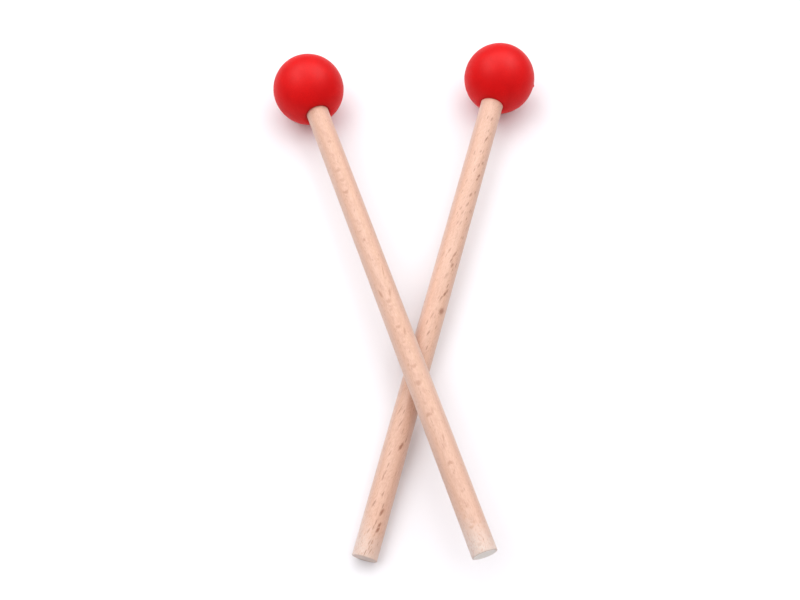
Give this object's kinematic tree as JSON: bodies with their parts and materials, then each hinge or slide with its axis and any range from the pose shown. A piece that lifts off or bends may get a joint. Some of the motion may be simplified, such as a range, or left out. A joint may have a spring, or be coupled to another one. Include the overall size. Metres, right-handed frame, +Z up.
{
  "type": "pair of percussion mallets",
  "caption": "Crossed pair of percussion mallets: round rubber beater heads on plain turned wooden handles, for striking bars, blocks or small drums.",
  "frame": {"origin": "bottom centre of the box round the crossed pair, on the surface that the pair lies on", "axes": "+Y along the pair, from the butts towards the heads; +X towards the right mallet's head; +Z up"},
  "size_m": [0.1192, 0.237, 0.032],
  "materials": {
    "head_rubber": "semi-matte moulded rubber, saturated red, with a soft sheen and a faint parting line",
    "handle_wood": "pale unfinished beech, sanded smooth, with fine grain lines and short dark ray flecks",
    "socket_glue": "hardened wood glue, honey-coloured and slightly glossy"
  },
  "bodies": {
    "right_mallet": {"right_mallet_head": "head_rubber", "right_mallet_handle": "handle_wood", "right_mallet_glue": "socket_glue"},
    "left_mallet": {"left_mallet_head": "head_rubber", "left_mallet_handle": "handle_wood", "left_mallet_glue": "socket_glue"}
  },
  "joints": [
    {"name": "left_mallet_lift", "type": "slide", "parent": "right_mallet", "child": "left_mallet", "axis": [0, 0, 1], "range_m": [0, 0.1]}
  ]
}
